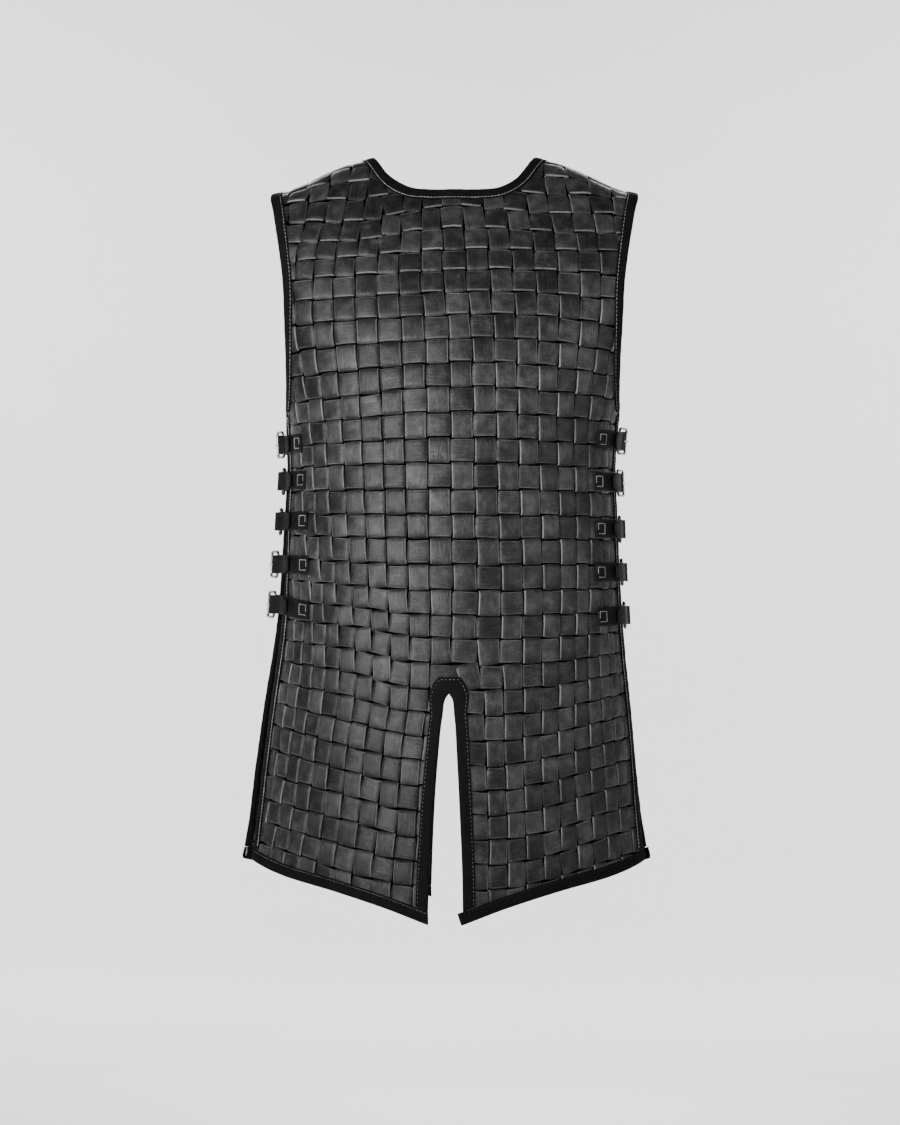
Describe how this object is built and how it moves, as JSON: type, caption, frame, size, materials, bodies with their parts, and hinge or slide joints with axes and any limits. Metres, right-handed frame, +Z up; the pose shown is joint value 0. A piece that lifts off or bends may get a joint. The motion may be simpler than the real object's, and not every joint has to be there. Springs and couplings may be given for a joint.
{
  "type": "woven leather torso armour",
  "caption": "Sleeveless torso armour of basket-woven black leather strips, with bound edges, a centre slit in the skirt front and back, and side straps with buckles.",
  "frame": {"origin": "middle of the shoulder line, where the wearer's shoulders carry the armour", "axes": "+Z up, the front of the armour faces -Y, the wearer's left is +X"},
  "size_m": [0.4742, 0.3378, 0.8692],
  "materials": {
    "woven_leather": "black, satin, fine grain",
    "binding_leather": "black, matt suede",
    "strap_leather": "black, satin",
    "buckle_steel": "bright nickel plate"
  },
  "bodies": {
    "root": {"front_panel": "woven_leather", "back_panel": "woven_leather", "neck_binding_front": "binding_leather", "slit_binding_front": "binding_leather", "armhole_binding_front_left": "binding_leather", "side_binding_front_left": "binding_leather", "hem_binding_front_left": "binding_leather", "armhole_binding_front_right": "binding_leather", "side_binding_front_right": "binding_leather", "hem_binding_front_right": "binding_leather", "neck_binding_back": "binding_leather", "slit_binding_back": "binding_leather", "armhole_binding_back_left": "binding_leather", "side_binding_back_left": "binding_leather", "hem_binding_back_left": "binding_leather", "armhole_binding_back_right": "binding_leather", "side_binding_back_right": "binding_leather", "hem_binding_back_right": "binding_leather", "strap_left_1": "strap_leather", "billet_left_1": "strap_leather", "buckle_left_1": "buckle_steel", "prong_left_1": "buckle_steel", "strap_left_2": "strap_leather", "billet_left_2": "strap_leather", "buckle_left_2": "buckle_steel", "prong_left_2": "buckle_steel", "strap_left_3": "strap_leather", "billet_left_3": "strap_leather", "buckle_left_3": "buckle_steel", "prong_left_3": "buckle_steel", "strap_left_4": "strap_leather", "billet_left_4": "strap_leather", "buckle_left_4": "buckle_steel", "prong_left_4": "buckle_steel", "strap_left_5": "strap_leather", "billet_left_5": "strap_leather", "buckle_left_5": "buckle_steel", "prong_left_5": "buckle_steel", "strap_right_1": "strap_leather", "billet_right_1": "strap_leather", "buckle_right_1": "buckle_steel", "prong_right_1": "buckle_steel", "strap_right_2": "strap_leather", "billet_right_2": "strap_leather", "buckle_right_2": "buckle_steel", "prong_right_2": "buckle_steel", "strap_right_3": "strap_leather", "billet_right_3": "strap_leather", "buckle_right_3": "buckle_steel", "prong_right_3": "buckle_steel", "strap_right_4": "strap_leather", "billet_right_4": "strap_leather", "buckle_right_4": "buckle_steel", "prong_right_4": "buckle_steel", "strap_right_5": "strap_leather", "billet_right_5": "strap_leather", "buckle_right_5": "buckle_steel", "prong_right_5": "buckle_steel"}
  },
  "joints": []
}
